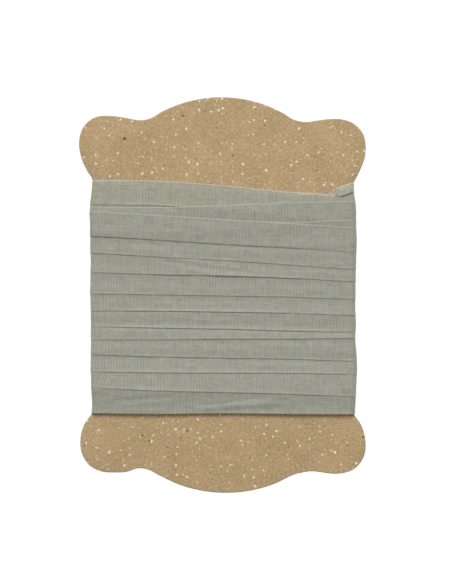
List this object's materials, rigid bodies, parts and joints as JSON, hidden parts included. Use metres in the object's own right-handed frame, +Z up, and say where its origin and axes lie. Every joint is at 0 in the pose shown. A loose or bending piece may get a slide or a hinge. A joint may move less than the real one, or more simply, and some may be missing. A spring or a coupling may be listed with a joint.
{
  "type": "silk ribbon wound on a card",
  "caption": "Flat scalloped kraft-board winding card with narrow silk ribbon wound round its waist in overlapping turns, for sewing and embroidery trim.",
  "frame": {"origin": "centre of the object's box at the surface that it lies on", "axes": "+X across the card to the right of the winding, +Y along the card towards its top end, +Z up, out of the front of the winding"},
  "size_m": [0.0459, 0.0633, 0.0027],
  "materials": {
    "kraft_board": "matt recycled kraft board, light brown with cream and dark fibre flecks",
    "silk_ribbon": "plain woven silk, grey sage green with a soft sheen and fine ribs across its width"
  },
  "bodies": {
    "root": {"card": "kraft_board", "ribbon": "silk_ribbon"}
  },
  "joints": []
}
